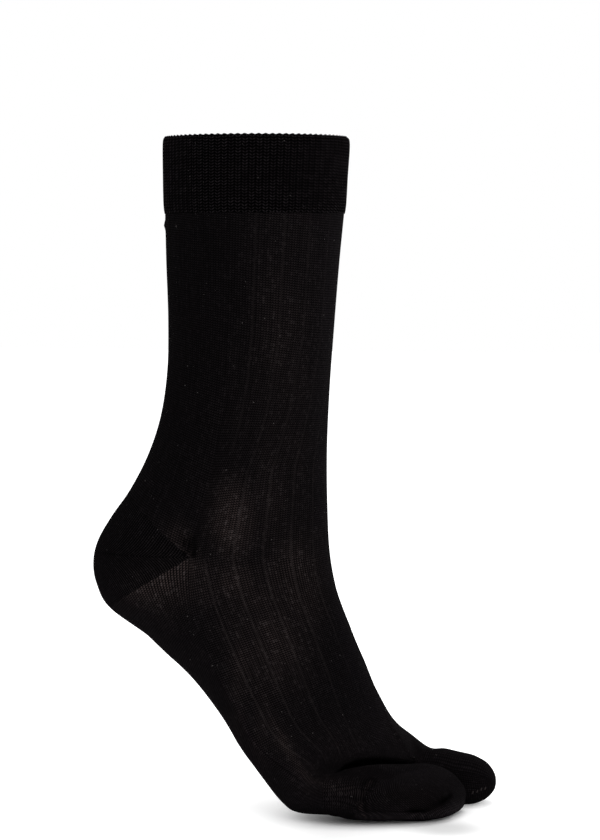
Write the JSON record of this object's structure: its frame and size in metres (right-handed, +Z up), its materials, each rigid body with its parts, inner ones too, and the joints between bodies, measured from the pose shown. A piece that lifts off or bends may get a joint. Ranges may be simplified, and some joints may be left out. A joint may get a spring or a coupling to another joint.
{
  "type": "tabi sock",
  "caption": "Crew-height split-toe tabi sock for a right foot, ribbed cuff and fine-knit leg, standing on its toes as if worn.",
  "frame": {"origin": "centre of the leg opening, at the height of the cuff's top edge, where a wearer's leg holds the sock up", "axes": "+Z up along the leg, +X towards the toes, +Y towards the big toe's side"},
  "size_m": [0.1924, 0.0884, 0.3183],
  "materials": {
    "black_yarn": "matt black fine-gauge knit",
    "black_yarn_sheer": "black fine-gauge knit, slightly sheer where stretched"
  },
  "bodies": {
    "root": {"cuff": "black_yarn", "leg": "black_yarn_sheer", "heel": "black_yarn", "foot": "black_yarn_sheer", "toe_outer": "black_yarn", "toe_big": "black_yarn"}
  },
  "joints": []
}
